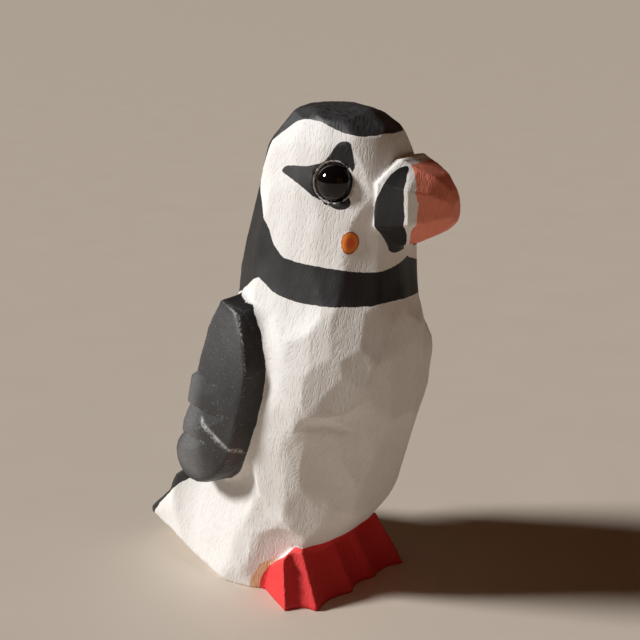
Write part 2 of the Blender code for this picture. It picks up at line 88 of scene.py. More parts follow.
# Seen from the side: back and height of the line that the black stays above, from the
# collar's front up to the white corner of the breast, then down the wing's back to the tail
COLLAR_LINE = (
    (-30, 52.4), (-16.2, 52.4), (-14.8, 52.1), (-12.4, 52.0), (-9.3, 51.9), (-4.8, 51.8),
    (-1.4, 52.1), (1.2, 52.9), (3.0, 53.8), (4.2, 54.4),
)
BACK_LINE = (
    (5.6, 53.8), (8.1, 52.1), (9.8, 51.0), (12.6, 49.6), (13.2, 44.0), (13.6, 30.0), (14.4, 22.6),
    (16.9, 18.4), (20.6, 16.2), (24.6, 13.6), (27.5, 11.0), (30.6, 8.2), (32.9, 5.7), (36.0, 2.0),
)
# Corners far beyond the bird, which close the outline of the black above and behind
BLACK_BEYOND = ((40.0, 3.0), (40.0, 95.0), (-30.0, 95.0))
# Black patches of the head, turned straight forward and seen from the side: back and height,
# and how far from the middle each starts
EYE_PATCH = (
    (2.5, 71.4), (1.5, 72.2), (-1.3, 72.4), (-3.4, 72.7), (-5.4, 73.6), (-7.0, 76.1),
    (-8.2, 76.4), (-8.9, 76.1), (-9.3, 75.1), (-9.9, 72.9), (-9.6, 71.2), (-9.5, 68.4),
    (-9.7, 67.3), (-9.1, 66.6), (-7.9, 66.4), (-6.5, 66.8), (-4.4, 67.8), (-2.3, 69.1),
    (0.1, 70.2), (2.0, 71.0),
)
EYE_PATCH_INNER = 3.0
BEAK_PATCH = (
    (-16.7, 72.9), (-15.9, 72.7), (-15.3, 72.2), (-14.9, 71.4), (-14.4, 70.1), (-13.7, 68.8),
    (-13.2, 67.3), (-13.05, 65.1), (-13.5, 63.1), (-14.1, 61.5), (-14.6, 59.8), (-15.4, 59.8),
    (-16.9, 61.6), (-17.7, 63.9), (-17.8, 67.4), (-17.6, 70.1), (-17.2, 72.0),
)
# The beak's patch starts further out with height: the height, then how far from the middle
BEAK_PATCH_INNER = ((64.0, 1.4), (70.0, 3.4))
# Height and reach of the edge between the beak's white stripe and its red tip
BEAK_TIP_LINE = (
    (59.0, -16.9), (61.1, -17.0), (62.5, -17.7), (63.8, -18.6), (64.7, -19.4), (67.7, -19.55),
    (70.0, -19.1), (71.0, -18.65), (71.8, -18.2), (72.6, -17.6), (73.4, -16.9), (76.0, -16.5),
)
# The orange spot at the gape: its place on the right, half sizes, and how far it is raised
SPOT_PLACE = (-9.0, -10.0, 61.5)
SPOT_HALF_WIDE, SPOT_HALF_TALL = 1.35, 1.75
SPOT_RAISED = 0.14
# Where its raised edge starts and ends, as shares of its size, how near its place the skin has
# to lie to take it, and the depth given to the skin that lies further off
SPOT_EDGE = (1.0, 0.75)
SPOT_NEAR, SPOT_NONE = 3.0, -5.0

# Wing, seen from the side: back and height of each corner, front edge first
WING_OUTLINE = (
    (9.4, 50.8), (4.2, 49.9), (2.0, 46.9), (0.4, 43.5), (-0.3, 41.0), (0.1, 36.5), (1.5, 32.0),
    (3.3, 27.6), (4.9, 24.6), (7.2, 21.6), (9.9, 19.4), (13.6, 18.0), (18.6, 18.4), (21.6, 20.0),
    (22.0, 22.0), (19.6, 26.0), (17.4, 34.0), (15.0, 46.0), (14.0, 50.0),
)
# How far the black runs over the wing's edge, and how far in from it the wing counts in full
WING_OVERRUN, WING_FADE = 0.18, 2.0
# How far from the middle the wing starts, and over what width its marks come in
WING_INNER, WING_INNER_FADE = 9.0, 2.0
# The wing's front edge: height, the solid's line, and how far it is set back from there
WING_FRONT = (
    (18.0, 13.6, 0.0), (19.4, 9.6, 0.3), (21.6, 6.6, 0.6), (24.6, 4.0, 0.9), (27.6, 2.2, 1.1),
    (32.0, 0.2, 1.3), (36.5, -1.2, 1.3), (41.0, -1.6, 1.3), (43.5, -0.8, 1.2), (46.8, 1.0, 1.0),
    (49.8, 3.6, 0.6), (50.8, 9.4, 0.0),
)
# How far round the edge the move reaches, and the distances from the middle it comes in over
WING_FRONT_REACH = 3.2
WING_FRONT_INNER = (7.5, 9.5)
# The foot of the edge's wall, eased onto the flank: half width, passes and share of each pass,
# the least distance from the middle, and the heights it comes in over below and above
WING_FOOT_WIDE, WING_FOOT_PASSES, WING_FOOT_EASE = 1.5, 40, 0.7
WING_FOOT_INNER = 8.0
WING_FOOT_LOW, WING_FOOT_HIGH = (17.0, 20.0), (53.0, 50.0)
# The belly's side, filled out again: a place on it, and where the filling ends and is full
BELLY_PLACE = (-10.5, -8.0, 21.5)
BELLY_REACH, BELLY_FULL, BELLY_BOTTOM = 12.5, 10.0, 10.5
# How far off the wing it starts and is full, how far down the filled side leans, and how far
# outside the skin the filling is looked for
BELLY_OFF_WING = (-2.4, -3.4)
BELLY_LEAN = -3.0
BELLY_OUTSIDE = 8.0
# The height over which the filling and the shallow cuts come in above their lower ends
FADE_TALL = 2.0
# Shallow cuts of the right breast and flank: a place, the turn and lift of the way each faces,
# in degrees, and its depth
BREAST_CUTS = (
    (-7.3, -13.4, 30.4, 228, -14, 0.20),
    (-8.9, -10.2, 25.5, 217, -15, 0.22),
    (-10.4, -3.7, 15.1, 210, -15, 0.15),
    (-6.5, -15.7, 49.2, 233, 10, 0.20),
    (-10.6, -11.4, 49.1, 219, 12, 0.25),
    (-10.1, -13.6, 37.3, 220, -6, 0.25),
    (-10.9, -13.2, 42.4, 225, 3, 0.25),
    (-13.1, -9.8, 39.4, 213, 1, 0.25),
    (-13.9, -6.2, 44.8, 193, 12, 0.25),
    (-14.8, -4.9, 33.0, 186, -8, 0.25),
    (-13.5, -3.1, 24.9, 204, -12, 0.25),
    (-13.6, 1.4, 21.3, 190, -10, 0.20),
    (-12.2, 5.8, 12.3, 192, -4, 0.15),
)
# How far from its place each cut ends and is full, the most it takes off, its lower end, and
# how far over its flat the wood has to stand to be left alone
CUT_REACH, CUT_FULL, CUT_DEEPEST, CUT_BOTTOM = 9.5, 3.2, 1.0, 10.0
CUT_HIGHEST = 3.0
# The beak's ridge: how far forward, and the share of the height over its middle that it keeps
BEAK_RIDGE = (
    (13.4, 1.0), (15.0, 0.93), (16.4, 0.85), (18.4, 0.81), (20.8, 0.92), (22.5, 1.0), (24.0, 1.0),
)
BEAK_MIDDLE = 68.0
# The shallow scoop between the right eye and the beak: back and height, half size and depth
EYE_SCOOP = (-11.3, 69.6, 1.8, 0.13)
# How much taller than wide it is, the share of it that is floor, and where it starts
EYE_SCOOP_TALL, EYE_SCOOP_FLOOR, EYE_SCOOP_INNER = 1.25, 0.62, 4.0
# The slip of the knife across the right wing: both ends, seen from the side, its half width,
# and how high and how fine its crumbs are, as waves in a millimetre
KNIFE_SLIP = ((12.2, 30.3), (4.9, 26.2))
SLIP_HALF, SLIP_CRUMB, SLIP_FINE = 0.42, 0.14, 2.1
# Worn edges: how far from a ridge the wear reaches, and the bend that wears in full
WEAR_WIDE, WEAR_BEND = 0.35, 0.6
# What lies lower than this is the sole, which keeps flat
SOLE_TALL = 0.05

# Feet: height and furthest back of the red, seen from the side, then side and height of its top
FOOT_BACK_LINE = (
    (-1.0, 5.2), (0.0, 5.2), (1.5, 5.0), (2.8, 4.4), (4.7, 3.3), (5.6, 2.2), (6.6, 0.8),
    (7.8, -0.4), (8.8, -1.2), (9.6, -2.8), (12.0, -4.6),
)
FOOT_TOP_LINE = (
    (-14.0, 8.2), (-9.5, 8.9), (-5.2, 9.3), (-2.2, 10.0), (1.3, 11.1), (4.6, 11.3), (8.0, 9.6),
    (13.0, 8.2),
)
# Bare wood behind the red: how wide it is, how soft its edge, and the heights it fades over
BARE_STRIP, BARE_EDGE = 1.4, 0.1
BARE_TOP, BARE_SOLE = (6.8, 5.2), (0.12, 0.04)

# Beads: sides round and from pole to pole
BEAD_SIDES, BEAD_RINGS = 64, 32
# The ring of skin that shows which way a bead looks: its size as a share of the bead's, and its
# half width
SOCKET_RING, SOCKET_RING_HALF = 1.35, 0.15
# The socket's wall, drawn in to the bead: how far out it is looked for, the share of the radius
# that it starts at, and the shares where the drawing in starts and is full
SOCKET_WIDE, SOCKET_LOW = 0.5, 0.05
SOCKET_TOP, SOCKET_FULL = 0.38, 0.27
# The ring of glue: its gap to the bead, height, middle and half width outside the bead, and reach
RIM_GAP, RIM_RAISED = 0.04, 0.10
RIM_MIDDLE, RIM_HALF, RIM_REACH = 0.12, 0.22, 1.2
# The ring's paint: how far outside the bead it ends, and how softly outward and inward of there
RIM_WIDE, RIM_OUTWARD, RIM_INWARD = 0.40, 0.06, 0.02


def placed(name, data):
    """A new object in the scene."""
    made = bpy.data.objects.new(name, data)
    bpy.context.scene.collection.objects.link(made)
    return made


def numbers_of(items, name, width=1, kind=float):
    """One property of all a mesh's items, with a row for each item where it is wide."""
    flat = np.empty(len(items) * width, dtype=kind)
    items.foreach_get(name, flat)
    return flat.reshape(-1, width) if width > 1 else flat


def merged_solid(node):
    """The node's loose triangles as one closed surface, in millimetres."""
    solid = bmesh.new()
    solid.from_mesh(bpy.data.objects[node].data)
    bmesh.ops.remove_doubles(solid, verts=solid.verts, dist=MERGE_GAP)
    bmesh.ops.scale(solid, vec=(1 / MM,) * 3, verts=solid.verts)
    solid.normal_update()
    return solid


def even_skin(solid, cell):
    """A closed skin of even squares over the solid."""
    mesh = bpy.data.meshes.new("block")
    solid.to_mesh(mesh)
    block = placed("block", mesh)
    remesh = block.modifiers.new("skin", "REMESH")
    remesh.mode = "VOXEL"
    remesh.voxel_size = cell
    skin = bpy.data.meshes.new_from_object(block.evaluated_get(bpy.context.evaluated_depsgraph_get()))
    bpy.data.objects.remove(block)
    bpy.data.meshes.remove(mesh)
    return skin


def places_of(mesh):
    """Where the mesh's corners are, a row for each."""
    return numbers_of(mesh.vertices, "co", 3)


def put_places(mesh, places):
    """Moves the mesh's corners to the places."""
    mesh.vertices.foreach_set("co", places.ravel())
    mesh.update()


def normals_of(mesh):
    """The way the mesh faces at each corner."""
    return numbers_of(mesh.vertices, "normal", 3)


class Edges:
    """Sample points along the solid's sharp edges, outward ridges or inward valleys."""

    def __init__(self, solid, outward):
        self.ends, self.bends, owners, samples = [], [], [], []
        for edge in solid.edges:
            bend = edge.calc_face_angle_signed(0.0)
            if (bend if outward else -bend) < RIDGE_LEAST:
                continue
            start, end = edge.verts[0].co, edge.verts[1].co
            count = max(1, math.ceil((end - start).length / RIDGE_STEP))
            for step in range(count + 1):
                samples.append(start.lerp(end, step / count))
                owners.append(len(self.ends))
            self.ends.append((start.copy(), end.copy()))
            self.bends.append(abs(bend))
        self.owners = owners
        self.tree = kdtree.KDTree(len(samples))
        for number, sample in enumerate(samples):
            self.tree.insert(sample, number)
        self.tree.balance()

    def nearest(self, places):
        """For each place, its distance to the nearest edge, the point there and the edge's bend."""
        gaps, points, bends = [], [], []
        for place in places:
            at = Vector(place)
            _, number, _ = self.tree.find(at)
            start, end = self.ends[self.owners[number]]
            along = end - start
            share = min(max((at - start).dot(along) / max(along.length_squared, TINY), 0.0), 1.0)
            point = start + along * share
            gaps.append((at - point).length)
            points.append(point)
            bends.append(self.bends[self.owners[number]])
        return np.array(gaps), np.array([tuple(point) for point in points]), np.array(bends)


def softened(mesh, places, amount):
    """Places moved part of the way to the middle of their neighbours."""
    edges = numbers_of(mesh.edges, "vertices", 2, np.int64)
    total = np.zeros_like(places)
    count = np.zeros(len(places))
    for a, b in ((0, 1), (1, 0)):
        np.add.at(total, edges[:, a], places[edges[:, b]])
        np.add.at(count, edges[:, a], 1)
    return places + amount * (total / count[:, None] - places)


def square_pairs(sides):
    """The squares on either hand of each side, from the sides of all squares in turn."""
    order = np.argsort(sides, kind="stable")
    owners = order // 4
    shared = sides[order][1:] == sides[order][:-1]
    return owners[:-1][shared], owners[1:][shared]


def crisped(mesh, places):
    """Places moved so that each knife cut lies flat up to a clean edge."""
    corners = numbers_of(mesh.loops, "vertex_index", 1, np.int64)
    sides = numbers_of(mesh.loops, "edge_index", 1, np.int64)
    squares = corners.reshape(-1, 4)
    first, second = square_pairs(sides)
    a, b, c, d = (places[squares[:, corner]] for corner in range(4))
    facing = np.cross(c - a, d - b)
    size = np.linalg.norm(facing, axis=1)
    facing /= size[:, None]
    for _ in range(CRISP_PASSES):
        bend = ((facing[first] - facing[second]) ** 2).sum(1)
        share = np.exp(-bend / (2 * CRISP_BEND ** 2))
        total = facing * size[:, None]
        for here, there in ((first, second), (second, first)):
            for axis in range(3):
                total[:, axis] += np.bincount(here, share * size[there] * facing[there, axis], len(total))
        facing = total / np.linalg.norm(total, axis=1, keepdims=True)
    count = np.bincount(corners, minlength=len(places))[:, None]
    for _ in range(CRISP_MOVES):
        middles = places[squares].mean(1)
        moves = np.zeros_like(places)
        for corner in range(4):
            at = squares[:, corner]
            off = ((middles - places[at]) * facing).sum(1)
            for axis in range(3):
                moves[:, axis] += np.bincount(at, off * facing[:, axis], len(places))
        places = places + moves / count
    return places


def wing_depth(places):
    """How far inside the wing's outline each place is, seen from the side."""
    return depth_inside(np.array(WING_OUTLINE, float), places[:, 1], places[:, 2])


def spanned(places):
    """The flats that span the places from outside."""
    hull = bmesh.new()
    for place in places:
        hull.verts.new(place)
    bmesh.ops.convex_hull(hull, input=hull.verts)
    tree = BVHTree.FromBMesh(hull)
    hull.free()
    return tree


def belly_filled(places):
    """Both sides of the belly, filled out to the flats that span their hollows."""
    places = places.copy()
    wing = wing_depth(places)
    for side in (1, -1):
        middle = np.array(BELLY_PLACE) * (side, 1, 1)
        gap = np.linalg.norm(places - middle, axis=1)
        near = (gap < BELLY_REACH) & (wing < BELLY_OFF_WING[0]) & (places[:, 2] > BELLY_BOTTOM)
        numbers = np.nonzero(near)[0]
        tree = spanned(places[numbers])
        out = Vector((middle[0], middle[1], BELLY_LEAN)).normalized()
        share = smooth_step(BELLY_REACH, BELLY_FULL, gap[numbers])
        share *= smooth_step(*BELLY_OFF_WING, wing[numbers])
        share *= smooth_step(BELLY_BOTTOM, BELLY_BOTTOM + FADE_TALL, places[numbers, 2])
        for number, part in zip(numbers, share):
            here = Vector(places[number])
            hit = tree.ray_cast(here + out * BELLY_OUTSIDE, -out)[0]
            if hit is not None:
                places[number] += np.array(out) * max((hit - here).dot(out), 0.0) * part
    return places


def breast_cut(places):
    """The right breast and flank with their shallow cuts."""
    places = places.copy()
    for x, y, z, turn, lift, depth in BREAST_CUTS:
        around, rise = math.radians(turn), math.radians(lift)
        facing = np.array((math.cos(around), math.sin(around), math.tan(rise)))
        facing /= np.linalg.norm(facing)
        gap = np.linalg.norm(places - np.array((x, y, z)), axis=1)
        above = (places - places[np.argmin(gap)]) @ facing + depth
        share = smooth_step(CUT_REACH, CUT_FULL, gap)
        share *= smooth_step(CUT_BOTTOM, CUT_BOTTOM + FADE_TALL, places[:, 2]) * (above < CUT_HIGHEST)
        places -= (np.clip(above, 0, CUT_DEEPEST) * share)[:, None] * facing
    return places


def beak_ridge_lowered(places):
    """The beak's upper half, pressed down to the line of its ridge."""
    forward, shares = np.array(BEAK_RIDGE).T
    share = np.interp(-unturned(places)[:, 1], forward, shares)
    over = np.maximum(places[:, 2] - BEAK_MIDDLE, 0)
    lowered = places.copy()
    lowered[:, 2] -= over * (1 - share)
    return lowered


def wing_front_gap(places):
    """How far behind the solid's front edge of the wing each place is."""
    heights, edges, _ = np.array(WING_FRONT).T
    return places[:, 1] - np.interp(places[:, 2], heights, edges)


def wing_foot_eased(mesh, places):
    """The foot of the wing's front wall, run out softly onto the flank."""
    share = np.exp(-(wing_front_gap(places) / WING_FOOT_WIDE) ** 2)
    share *= np.abs(places[:, 0]) > WING_FOOT_INNER
    share *= smooth_step(*WING_FOOT_LOW, places[:, 2]) * smooth_step(*WING_FOOT_HIGH, places[:, 2])
    for _ in range(WING_FOOT_PASSES):
        places = places + (softened(mesh, places, WING_FOOT_EASE) - places) * share[:, None]
    return places


def wing_front_set_back(places):
    """The wing's front edge moved back along the flank."""
    heights, _, moves = np.array(WING_FRONT).T
    share = np.exp(-(wing_front_gap(places) / WING_FRONT_REACH) ** 2)
    share *= smooth_step(*WING_FRONT_INNER, np.abs(places[:, 0]))
    moved = places.copy()
    moved[:, 1] += np.interp(places[:, 2], heights, moves) * share
    return moved


def facets_of(solid):
    """The knife cut that each face belongs to: faces that meet almost flat share one."""
    solid.faces.ensure_lookup_table()
    cut_of = [-1] * len(solid.faces)
    cuts = 0
    for face in solid.faces:
        if cut_of[face.index] >= 0:
            continue
        waiting = [face]
        cut_of[face.index] = cuts
        while waiting:
            here = waiting.pop()
            for edge in here.edges:
                for there in edge.link_faces:
                    flat = here.normal.angle(there.normal, 0.0) < FACET_BEND
                    if cut_of[there.index] < 0 and flat:
                        cut_of[there.index] = cuts
                        waiting.append(there)
        cuts += 1
    return cut_of, cuts


def cut_axes(solid, cut_of, cuts):
    """For each cut, the way across and the way along the knife's pull, and a shift of its own."""
    facing = np.zeros((cuts, 3))
    for face in solid.faces:
        facing[cut_of[face.index]] += np.array(face.normal) * face.calc_area()
    dice = random.Random(CUT_SEED)
    across, along, shift = np.zeros((cuts, 3)), np.zeros((cuts, 3)), np.zeros((cuts, 3))
    for cut in range(cuts):
        normal = Vector(facing[cut]).normalized()
        grain = Vector((0, 0, 1)) if abs(normal.z) < CUT_STEEP else Vector((0, 1, 0))
        pull = (grain - normal * grain.dot(normal)).normalized()
        side = pull.cross(normal)
        lean = dice.gauss(CUT_LEAN, CUT_LEAN_SPREAD)
        along[cut] = pull * math.cos(lean) + side * math.sin(lean)
        across[cut] = side * math.cos(lean) - pull * math.sin(lean)
        shift[cut] = [dice.uniform(0, CUT_SHIFT) for _ in range(3)]
    return across, along, shift


def nearest_cuts(tree, cut_of, places):
    """The knife cut that each place lies on."""
    return np.array([cut_of[tree.find_nearest(Vector(place))[2]] for place in places])


def grain_places(places, cuts, axes):
    """Places in the grain of their cut: across it, along it, and a third that sets cuts apart."""
    across, along, shift = axes
    u = (places * across[cuts]).sum(1)
    v = (places * along[cuts]).sum(1)
    return np.stack([u, v, np.zeros(len(u))], 1) + shift[cuts]


def noise_at(places, scale):
    """Smooth noise from about -1 to 1, with one scale for each axis."""
    scaled = places * np.array(scale)
    return np.array([noise.noise(Vector(place)) for place in scaled])


def smooth_step(low, high, values):
    """Values brought smoothly from 0 at the one bound to 1 at the other."""
    t = np.clip((values - low) / (high - low), 0, 1)
    return t * t * (3 - 2 * t)


def unturned(places):
    """Places with the head turned back to face straight forward."""
    share = smooth_step(NECK_BOTTOM, NECK_TOP, places[:, 2])
    angle = -HEAD_TURN * share
    c, s = np.cos(angle), np.sin(angle)
    x, y, z = places.T
    return np.stack([x * c - y * s, x * s + y * c, z], 1)


def smooth_loop(corners, steps=5):
    """The closed outline through the corners, rounded."""
    corners = np.array(corners, float)
    before, after = np.roll(corners, 1, 0), np.roll(corners, -1, 0)
    later = np.roll(corners, -2, 0)
    rows = []
    for step in range(steps):
        t = step / steps
        rows.append(
            0.5 * (2 * corners + (after - before) * t
                   + (2 * before - 5 * corners + 4 * after - later) * t ** 2
                   + (3 * corners - before - 3 * after + later) * t ** 3)
        )
    return np.stack(rows, 1).reshape(-1, 2)


def depth_inside(loop, u, v):
    """Distance to the outline, above 0 inside it and below 0 outside."""
    best = np.full(len(u), np.inf)
    inside = np.zeros(len(u), bool)
    for (x1, y1), (x2, y2) in zip(loop, np.roll(loop, -1, 0)):
        dx, dy = x2 - x1, y2 - y1
        t = np.clip(((u - x1) * dx + (v - y1) * dy) / max(dx * dx + dy * dy, TINY), 0, 1)
        best = np.minimum(best, (u - x1 - t * dx) ** 2 + (v - y1 - t * dy) ** 2)
        crosses = (y1 > v) != (y2 > v)
        if abs(dy) > TINY:
            inside ^= crosses & (u < x1 + (v - y1) * dx / dy)
    return np.where(inside, 1, -1) * np.sqrt(best)


def line_gap(ends, u, v):
    """Distance to a straight line between two ends."""
    (x1, y1), (x2, y2) = ends
    dx, dy = x2 - x1, y2 - y1
    t = np.clip(((u - x1) * dx + (v - y1) * dy) / (dx * dx + dy * dy), 0, 1)
    return np.hypot(u - x1 - t * dx, v - y1 - t * dy)


def round_turn(places):
    """Degrees round the upright axis from the front, the same on both sides."""
    return np.degrees(np.abs(np.arctan2(places[:, 0], -(places[:, 1] - AXIS_BACK))))


def face_depth(upright):
    """How far inside the white face each place is."""
    per_degree = math.radians(1) * HEAD_ROUND
    mirrored = [(-turn, height) for turn, height in FACE_OUTLINE[-2:0:-1]]
    loop = smooth_loop([(turn * per_degree, height) for turn, height in list(FACE_OUTLINE) + mirrored])
    return depth_inside(loop, round_turn(upright) * per_degree, upright[:, 2])


def black_depth(places, upright):
    """How far inside the black paint each place is."""
    side = np.abs(upright[:, 0])
    _, back, height = upright.T
    above = np.array(COLLAR_LINE + BACK_LINE + BLACK_BEYOND, float)
    mantle = depth_inside(above, places[:, 1], places[:, 2])
    mantle = np.minimum(mantle, -face_depth(upright))
    wing = np.minimum(wing_depth(places) + WING_OVERRUN, np.abs(places[:, 0]) - WING_INNER)
    patch = np.minimum(depth_inside(smooth_loop(EYE_PATCH), back, height), side - EYE_PATCH_INNER)
    inner = np.interp(height, *np.array(BEAK_PATCH_INNER).T)
    beak = np.minimum(depth_inside(smooth_loop(BEAK_PATCH), back, height), side - inner)
    return np.max([mantle, wing, patch, beak], 0)


def beak_tip_depth(upright):
    """How far inside the beak's red tip each place is."""
    heights, reaches = np.array(BEAK_TIP_LINE).T
    _, back, height = upright.T
    return np.minimum(np.interp(height, heights, reaches) - back, height - heights[0])


def spot_frame(upright):
    """Places in the gape spot's own frame: sideways and up, over its half sizes, and outward."""
    place = np.array(SPOT_PLACE)
    mirrored = upright.copy()
    mirrored[:, 0] = -np.abs(mirrored[:, 0])
    out = place * np.array([1, 1, 0]) - np.array([0, AXIS_BACK, 0])
    out /= np.linalg.norm(out)
    sideways = np.array([-out[1], out[0], 0])
    offset = mirrored - place
    return offset @ sideways / SPOT_HALF_WIDE, offset[:, 2] / SPOT_HALF_TALL, offset @ out


def spot_depth(upright):
    """How far inside the gape spot each place is."""
    u, v, out = spot_frame(upright)
    return np.where(np.abs(out) < SPOT_NEAR, (1 - np.hypot(u, v)) * SPOT_HALF_WIDE, SPOT_NONE)


def foot_depth(places):
    """How far inside the red of the feet each place is."""
    heights, backs = np.array(FOOT_BACK_LINE).T
    sides, tops = np.array(FOOT_TOP_LINE).T
    side, back, height = places.T
    behind = np.interp(height, heights, backs) - back
    return np.minimum(behind, np.interp(side, sides, tops) - height)


def bead_place(node):
    """The bead's middle and radius, from its node."""
    low, high = (np.array(corner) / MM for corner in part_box(node))
    return (low + high) / 2, float((high - low).max()) / 2


def bead_axis(places, middle, radius):
    """The way the bead looks out of its socket: square to the ring of skin around it."""
    offset = places - middle
    off_ring = np.abs(np.linalg.norm(offset, axis=1) - radius * SOCKET_RING)
    ring = offset[off_ring < SOCKET_RING_HALF]
    centred = ring - ring.mean(0)
    axis = np.linalg.svd(centred, full_matrices=False)[2][2]
    return axis * np.sign(axis[0] * middle[0])


def write_float(mesh, name, values):
    """Keeps a number for each corner of the mesh, for the paint to read."""
    mesh.attributes.new(name, "FLOAT", "POINT").data.foreach_set("value", np.asarray(values, np.float32))


def skin_on(solid, tree, ridges, valleys):
    """A fine skin that lies on the solid and keeps its edges, and where its corners are."""
    mesh = even_skin(solid, SKIN_CELL)
    places = np.array([tuple(tree.find_nearest(Vector(place))[0]) for place in places_of(mesh)])
    for lines in (ridges, valleys):
        gap, point, _ = lines.nearest(places)
        pull = np.where(gap < RIDGE_CATCH, RIDGE_PULL, 0.0)[:, None]
        places += (point - places) * pull
    return mesh, crisped(mesh, softened(mesh, places, SOFTENING))


def reformed(mesh, places):
    """Places with the small changes of form that the solid doesn't have."""
    places = wing_foot_eased(mesh, breast_cut(belly_filled(places)))
    return beak_ridge_lowered(wing_front_set_back(places))


def knife_relief(places, upright, grain, ridge_gap, valley_gap, crumb):
    """How far each place is raised: hollow cuts, swelling grain, the spot, the scoop, the slip."""
    rise = -SCOOP_DEPTH * (1 - np.exp(-ridge_gap / SCOOP_RUN)) * (1 - np.exp(-valley_gap / SCOOP_RUN))
    rise += SWELL_DEPTH * noise_at(grain, (1 / SWELL_WIDE, 1 / SWELL_LONG, 1))

    u, v, out = spot_frame(upright)
    spot = SPOT_RAISED * smooth_step(*SPOT_EDGE, np.hypot(u, v))
    rise += np.where(np.abs(out) < SPOT_NEAR, spot, 0)

    back, height, half, deep = EYE_SCOOP
    scoop = np.hypot(upright[:, 1] - back, (upright[:, 2] - height) / EYE_SCOOP_TALL)
    on_right = upright[:, 0] < -EYE_SCOOP_INNER
    rise -= deep * smooth_step(half, half * EYE_SCOOP_FLOOR, scoop) * on_right

    rise += SLIP_CRUMB * crumb * noise_at(places, (SLIP_FINE,) * 3)
    rise[places[:, 2] < SOLE_TALL] = 0
    return rise


def bead_seated(places, node):
    """Places with the socket's wall drawn in to the bead and a ring of glue raised round it."""
    middle, radius = bead_place(node)
    axis = bead_axis(places, middle, radius)
    offset = places - middle
    out = offset @ axis
    flat = offset - out[:, None] * axis
    wide = np.linalg.norm(flat, axis=1)
    bead_wide = np.sqrt(np.maximum(radius ** 2 - out ** 2, 0)) + RIM_GAP
    wall = (wide < radius + SOCKET_WIDE) & (out > SOCKET_LOW * radius) & (out < radius)
    blend = smooth_step(SOCKET_TOP * radius, SOCKET_FULL * radius, out)
    target = bead_wide * blend + wide * (1 - blend)
    narrow = np.where(wall, np.minimum(target, wide) / np.maximum(wide, TINY), 1.0)
    places = places + flat * (narrow - 1)[:, None]
    near = np.linalg.norm(offset, axis=1) < radius + RIM_REACH
    ring = np.exp(-((wide - radius - RIM_MIDDLE) / RIM_HALF) ** 2) * near * (out > 0)
    return places + axis * (RIM_RAISED * ring)[:, None]


def write_layout(mesh, places, upright, wear, crumb, on_wing):
    """What the paint is laid out by, kept at each corner of the skin."""
    layout = {
        "black": black_depth(places, upright),
        "beak_tip": beak_tip_depth(upright),
        "spot": spot_depth(upright),
        "feet": foot_depth(places),
        "ridge": wear,
        "slip": crumb,
        "wing": np.clip(wing_depth(places) / WING_FADE, 0, 1) * on_wing,
    }
    for name, values in layout.items():
        write_float(mesh, name, values)


def make_body():
    """The painted body: a fine skin over the carved block, with its knife work and paint."""
    solid = merged_solid("puffin_body")
    tree = BVHTree.FromBMesh(solid)
    ridges, valleys = Edges(solid, True), Edges(solid, False)
    cut_of, cuts = facets_of(solid)
    axes = cut_axes(solid, cut_of, cuts)

    mesh, places = skin_on(solid, tree, ridges, valleys)
    ridge_gap, _, ridge_bend = ridges.nearest(places)
    valley_gap, _, _ = valleys.nearest(places)
    cut_here = nearest_cuts(tree, cut_of, places)
    wear = np.exp(-(ridge_gap / WEAR_WIDE) ** 2) * np.clip(ridge_bend / WEAR_BEND, 0, 1)

    places = reformed(mesh, places)
    put_places(mesh, places)
    normals = normals_of(mesh)
    grain = grain_places(places, cut_here, axes)
    upright = unturned(places)
    on_wing = smooth_step(WING_INNER, WING_INNER + WING_INNER_FADE, np.abs(places[:, 0]))
    slip_gap = line_gap(KNIFE_SLIP, places[:, 1], places[:, 2])
    crumb = np.exp(-(slip_gap / SLIP_HALF) ** 2) * ((places[:, 0] < 0) * on_wing)

    rise = knife_relief(places, upright, grain, ridge_gap, valley_gap, crumb)
    places = places + normals * rise[:, None]
    for node in EYES:
        places = bead_seated(places, node)
    places[:, 2] = np.maximum(places[:, 2], 0)
    put_places(mesh, places * MM)

    write_layout(mesh, places, upright, wear, crumb, on_wing)
    write_grain(mesh, tree, cut_of, axes)
    mesh.shade_smooth()
    mesh.name = "painted_body"
    solid.free()
    return placed("painted_body", mesh)


def write_grain(mesh, tree, cut_of, axes):
    """Each face's grain at its corners, so that the pattern breaks cleanly from cut to cut."""
    middles = numbers_of(mesh.polygons, "center", 3) / MM
    face_cuts = nearest_cuts(tree, cut_of, middles)
    sizes = numbers_of(mesh.polygons, "loop_total", 1, np.int64)
    corners = numbers_of(mesh.loops, "vertex_index", 1, np.int64)
    grain = grain_places(places_of(mesh)[corners] / MM, np.repeat(face_cuts, sizes), axes)
    attribute = mesh.attributes.new("grain", "FLOAT_VECTOR", "CORNER")
    attribute.data.foreach_set("vector", grain.astype(np.float32).ravel())


